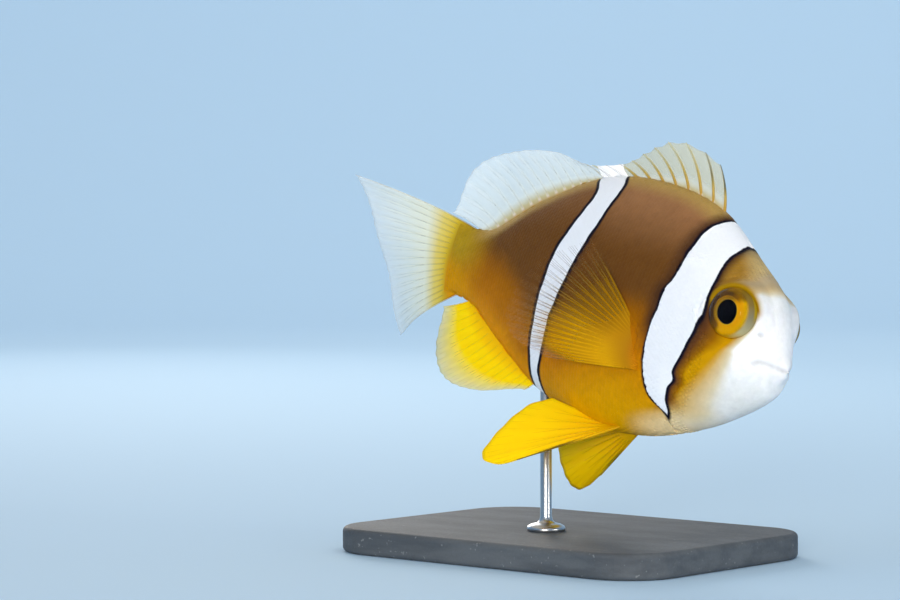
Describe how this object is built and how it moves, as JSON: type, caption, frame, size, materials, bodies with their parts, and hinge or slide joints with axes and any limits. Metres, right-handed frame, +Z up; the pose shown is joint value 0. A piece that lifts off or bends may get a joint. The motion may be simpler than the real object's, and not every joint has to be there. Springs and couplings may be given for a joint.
{
  "type": "clownfish",
  "caption": "Life-size model of a two-banded clownfish, nose down and banked as it swims, held by one thin rod on a flat rounded base.",
  "frame": {"origin": "centre of the bounding box at the underside of the stand's base", "axes": "+X towards the fish's snout, -Y on the fish's right side, +Z up"},
  "size_m": [0.0866, 0.046, 0.0642],
  "materials": {
    "skin": "small scales, satin to glossy as if wet; brown back, amber flank and belly, white snout and two white bars edged in black",
    "fin_clear": "thin clear membrane with pale rays",
    "fin_yellow": "bright yellow membrane with fine rays",
    "fin_amber": "clear membrane with amber rays, yellow at the root",
    "eye": "glossy, black pupil in a gold and amber iris",
    "stand_slate": "honed slate with eased edges",
    "stand_steel": "satin"
  },
  "bodies": {
    "root": {"head": "skin", "lower_jaw": "skin", "gill_cover_right": "skin", "gill_cover_left": "skin", "trunk": "skin", "tail_stalk": "skin", "dorsal_fin_spiny": "fin_clear", "dorsal_fin_soft": "fin_clear", "tail_fin": "fin_clear", "anal_fin": "fin_yellow", "pelvic_fin_right": "fin_yellow", "pelvic_fin_left": "fin_yellow", "pectoral_fin_right": "fin_amber", "pectoral_fin_left": "fin_amber", "eye_right": "eye", "eye_left": "eye", "stand_base": "stand_slate", "stand_rod": "stand_steel"}
  },
  "joints": []
}
